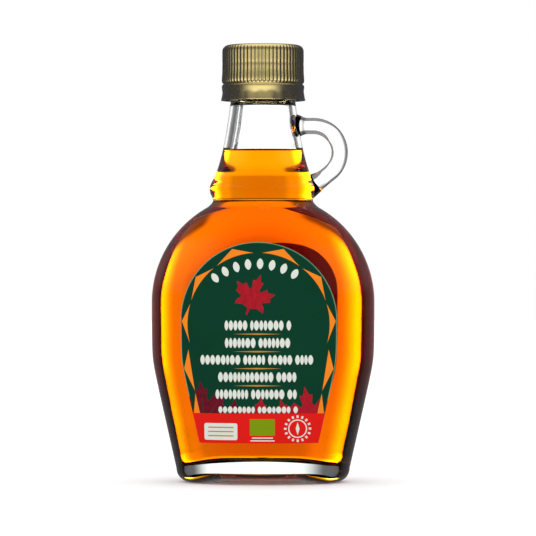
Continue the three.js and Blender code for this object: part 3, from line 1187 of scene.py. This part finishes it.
class FLASK_OT_stage(bpy.types.Operator):
    """Set up the floor, the studio light and the camera"""

    bl_idname = "flask.stage"
    bl_label = "Stage"

    distance = 1300.0
    view_width = 193.5  # what the picture spans at the flask's axis
    eye_height = 77.1
    azimuth = 4.0
    axis_shift = 1.8  # the flask's axis stands this far left of the picture's middle
    sensor = 36.0
    far_clip = 20
    floor_radius = 4000
    floor_sides = 96
    bounces = 32  # light turns back several times inside the shoulders before it leaves
    clear_cards = (
        (0.0, 0.9),
        (0.06, 0.9),
        (0.09, 0.02),
        (0.275, 0.04),
        (0.288, 0.9),
        (0.312, 0.9),
        (0.32, 0.06),
        (0.36, 0.1),
        (0.378, 1.0),
        (0.8, 1.0),
        (0.84, 0.2),
        (1.0, 0.12),
    )

    # How the light changes with a ray's direction. Each line names a part of the direction, between which
    # of its values the light changes, and what it is before and after. steep is up or down alike.
    changes = {
        "is_behind": ("behind", -0.25, 0.1, 0.0, 1.0),
        "front": ("behind", -0.7, -0.9, 0.1, 0.9),
        "strips": ("aside", 0.5, 0.82, 1.36, 7.0),
        "off_middle": ("aside", 0.3, 0.42, 0.0, 1.0),
        "near_middle": ("aside", 0.42, 0.3, 0.0, 1.0),
        "low": ("up", -0.36, -0.48, 0.0, 1.0),
        "level": ("up", -0.2, -0.12, 0.0, 1.0),
        "table_glow": ("up", -0.1, -0.3, 1.0, 1.35),
        "backdrop_top": ("up", 0.1, 0.24, 1.0, 0.4),
        "near_table": ("up", -0.5, -0.7, 1.0, 0.35),
        "over_backdrop": ("up", 0.26, 0.42, 1.0, 0.04),
        "solid_glass": ("aside", 0.3, 0.6, 1.0, 0.12),
        "clear_level": ("steep", 0.3, 0.42, 1.0, 0.2),
        "far_wall": ("behind", 0.35, 0.6, 0.02, 0.2),
        "window_foot": ("up", 0.05, 0.2, 0.0, 0.15),
        "window_head": ("up", 0.45, 0.6, 1.0, 0.0),
        "window_side": ("aside", 0.45, 0.8, 0.0, 1.0),
        "panel": ("behind", -0.45, -0.92, 0.0, 1.0),
        "overhead": ("up", 0.6, 0.85, 0.0, 1.0),
        "ceiling": ("up", 0.05, 0.14, 1.4, 0.5),
        "table": ("up", -0.12, -0.3, 0.0, 0.9),
    }

    # What the changes add up to. MIX goes from its second value to its third by the first, and the other
    # words are operations on two values. A ray that crosses more than 4.5 surfaces has gone through the
    # syrup, and one that crosses more than 2.5 through the hollow.
    steps = (
        ("dimmed", "MULTIPLY", "off_middle", "low"),
        ("strips", "MIX", "dimmed", "strips", 0.3),
        ("middle", "MULTIPLY", "near_middle", "level"),
        ("middle", "MIX", "middle", 1.0, 0.75),
        ("strips", "MULTIPLY", "strips", "middle"),
        ("through", "MIX", "is_behind", "front", "strips"),
        ("through", "MULTIPLY", "through", "table_glow"),
        ("through", "MULTIPLY", "through", "backdrop_top"),
        ("through", "MULTIPLY", "through", "near_table"),
        ("through", "MULTIPLY", "through", "over_backdrop"),
        ("hollow", "GREATER_THAN", "crossings", 2.5),
        ("clear", "MIX", "hollow", "solid_glass", "cards"),
        ("clear", "MULTIPLY", "clear", "clear_level"),
        ("clear", "MULTIPLY", "clear", 1.3),
        ("filled", "GREATER_THAN", "crossings", 4.5),
        ("through", "MIX", "filled", "clear", "through"),
        ("window", "MULTIPLY", "window_foot", "window_head"),
        ("window", "MULTIPLY", "window", "window_side"),
        ("mirrored", "ADD", "far_wall", "window"),
        ("panel", "MAXIMUM", "panel", "overhead"),
        ("warm", "ADD", "ceiling", "table"),
        ("warm", "ADD", "warm", "overhead"),
        ("sheen", "MIX", "panel", 0.42, "warm"),
        ("light", "MIX", "is_mirrored", "sheen", "mirrored"),
        ("light", "MIX", "is_through", "light", "through"),
        ("is_scattered", "GREATER_THAN", "scatterings", 0.5),
        ("light", "MIX", "is_scattered", "light", 1.3),
        ("light", "MIX", "is_seen", "light", 1.0),
        ("plain", "MAXIMUM", "is_mirrored", "is_scattered"),
        ("plain", "MAXIMUM", "plain", "is_seen"),
    )

    def floor(self):
        material, tree = blank_material("matt_white_board")
        place = add(tree, "ShaderNodeTexCoord")
        links = [(place.outputs["Object"], "Vector")]
        fibre = add(tree, "ShaderNodeTexNoise", {"Scale": 1 / (2 * MM)}, links=links)
        inputs = {"Strength": 0.02, "Distance": 0.1 * MM}
        bump = add(tree, "ShaderNodeBump", inputs, links=[(fibre.outputs["Fac"], "Height")])
        board = add(
            tree,
            "ShaderNodeBsdfPrincipled",
            {"Base Color": (0.97, 0.97, 0.97, 1), "Roughness": 0.9},
            links=[(bump.outputs["Normal"], "Normal")],
        )
        finish_surface(tree, board)
        points = [(p.x, p.y, 0) for p in disc(0, 0, self.floor_radius, self.floor_sides)]
        board = mesh_object("floor", points, [tuple(range(self.floor_sides))], [material])
        board.visible_transmission = False
        board.visible_glossy = False

    def world(self):
        """Soft studio light. It depends on a ray's direction and on the surfaces that the ray has met."""
        world = bpy.data.worlds.new("studio")
        world.use_nodes = True
        world.cycles.sampling_method = "NONE"  # the light differs by kind of ray, so it isn't sampled apart
        bpy.context.scene.world = world
        tree = world.node_tree
        tree.nodes.clear()
        values = self.ray_values(tree)
        for name, (part, *limits) in self.changes.items():
            inputs = dict(zip(("From Min", "From Max", "To Min", "To Max"), limits))
            settings = {"interpolation_type": "SMOOTHSTEP"}
            node = add(tree, "ShaderNodeMapRange", inputs, settings, [(values[part], "Value")])
            values[name] = node.outputs["Result"]
        for name, operation, *sources in self.steps:
            mixes = operation == "MIX"
            given = dict(zip(("Factor", "A", "B") if mixes else (0, 1), sources))
            inputs = {key: value for key, value in given.items() if isinstance(value, float)}
            links = [(values[value], key) for key, value in given.items() if isinstance(value, str)]
            kind = "ShaderNodeMix" if mixes else "ShaderNodeMath"
            node = add(tree, kind, inputs, {} if mixes else {"operation": operation}, links)
            values[name] = node.outputs[0]
        white = (1, 1, 1, 1)
        colours = {"data_type": "RGBA"}
        inputs = {"A": (*linear("#7077A4"), 1), "B": white}
        metal = add(tree, "ShaderNodeMix", inputs, colours, [(values["panel"], "Factor")])
        links = [(values["plain"], "Factor"), (metal.outputs["Result"], "A")]
        tone = add(tree, "ShaderNodeMix", {"B": white}, colours, links)
        links = [(values["light"], "Strength"), (tone.outputs["Result"], "Color")]
        studio = add(tree, "ShaderNodeBackground", links=links)
        add(tree, "ShaderNodeOutputWorld", links=[(studio.outputs[0], "Surface")])

    def ray_values(self, tree):
        """What the light starts from: the ray's direction, its kind, and the cards beside the backdrop."""
        ray = add(tree, "ShaderNodeLightPath").outputs
        way = add(tree, "ShaderNodeTexCoord")
        axes = add(tree, "ShaderNodeSeparateXYZ", links=[(way.outputs["Generated"], 0)]).outputs
        size = {"operation": "ABSOLUTE"}
        inputs = {1: 0.5, 2: 0.5}
        halved = add(tree, "ShaderNodeMath", inputs, {"operation": "MULTIPLY_ADD"}, [(axes["X"], 0)])
        cards = add(tree, "ShaderNodeValToRGB", links=[(halved.outputs[0], "Fac")])
        self.lay_out(cards.color_ramp)
        return {
            "aside": add(tree, "ShaderNodeMath", settings=size, links=[(axes["X"], 0)]).outputs[0],
            "steep": add(tree, "ShaderNodeMath", settings=size, links=[(axes["Z"], 0)]).outputs[0],
            "behind": axes["Y"],
            "up": axes["Z"],
            "cards": cards.outputs["Color"],
            "crossings": ray["Transmission Depth"],
            "scatterings": ray["Diffuse Depth"],
            "is_mirrored": ray["Is Singular Ray"],
            "is_through": ray["Is Transmission Ray"],
            "is_seen": ray["Is Camera Ray"],
        }

    def lay_out(self, cards):
        """Black and white cards beside the backdrop, from left to right, as the clear glass shows them."""
        cards.elements[0].position = 0.0
        cards.elements[0].color = (*[self.clear_cards[0][1]] * 3, 1)
        cards.elements[1].position = self.clear_cards[-1][0]
        cards.elements[1].color = (*[self.clear_cards[-1][1]] * 3, 1)
        for position, light in self.clear_cards[1:-1]:
            cards.elements.new(position).color = (light, light, light, 1)

    def camera(self):
        a = math.radians(self.azimuth)
        back = Vector((math.sin(a), -math.cos(a), 0))
        right = Vector((math.cos(a), math.sin(a), 0))
        camera = bpy.data.objects.new("camera", bpy.data.cameras.new("camera"))
        bpy.context.scene.collection.objects.link(camera)
        camera.data.sensor_width = self.sensor
        camera.data.lens = self.sensor * self.distance / self.view_width
        target = right * self.axis_shift + Vector((0, 0, self.eye_height))
        camera.location = (target + back * self.distance) * MM
        camera.rotation_euler = (math.radians(90), 0, a)
        camera.data.clip_end = self.far_clip
        bpy.context.scene.camera = camera

    def execute(self, context):
        context.scene.view_settings.view_transform = "Standard"
        context.scene.cycles.max_bounces = self.bounces
        context.scene.cycles.transmission_bounces = self.bounces
        self.floor()
        self.world()
        self.camera()
        return {"FINISHED"}


class FLASK_PT_parts(bpy.types.Panel):
    """Lists the flask's pieces"""

    bl_label = "Syrup Flask"
    bl_idname = "FLASK_PT_parts"
    bl_space_type = "VIEW_3D"
    bl_region_type = "UI"
    bl_category = "Flask"

    def draw(self, context):
        layout = self.layout
        for group in (context.scene.flask_sizes, context.scene.flask_colours):
            for name in group.bl_rna.properties.keys():
                if name not in ("rna_type", "name"):
                    layout.prop(group, name)
        for operator in OPERATORS:
            layout.operator(operator.bl_idname)


OPERATORS = (
    FLASK_OT_stage,
    FLASK_OT_glass,
    FLASK_OT_syrup,
    FLASK_OT_cap,
    FLASK_OT_front_label,
    FLASK_OT_back_label,
)
CLASSES = (FlaskSizes, FlaskColours, *OPERATORS, FLASK_PT_parts)


def register():
    for cls in CLASSES:
        bpy.utils.register_class(cls)
    bpy.types.Scene.flask_sizes = PointerProperty(type=FlaskSizes)
    bpy.types.Scene.flask_colours = PointerProperty(type=FlaskColours)


def unregister():
    del bpy.types.Scene.flask_colours
    del bpy.types.Scene.flask_sizes
    for cls in reversed(CLASSES):
        bpy.utils.unregister_class(cls)


def main():
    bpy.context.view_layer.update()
    register()
    bpy.ops.flask.stage()
    bpy.ops.flask.glass()
    bpy.ops.flask.syrup()
    bpy.ops.flask.cap()
    bpy.ops.flask.front_label()
    bpy.ops.flask.back_label()


if __name__ == "__main__":
    main()
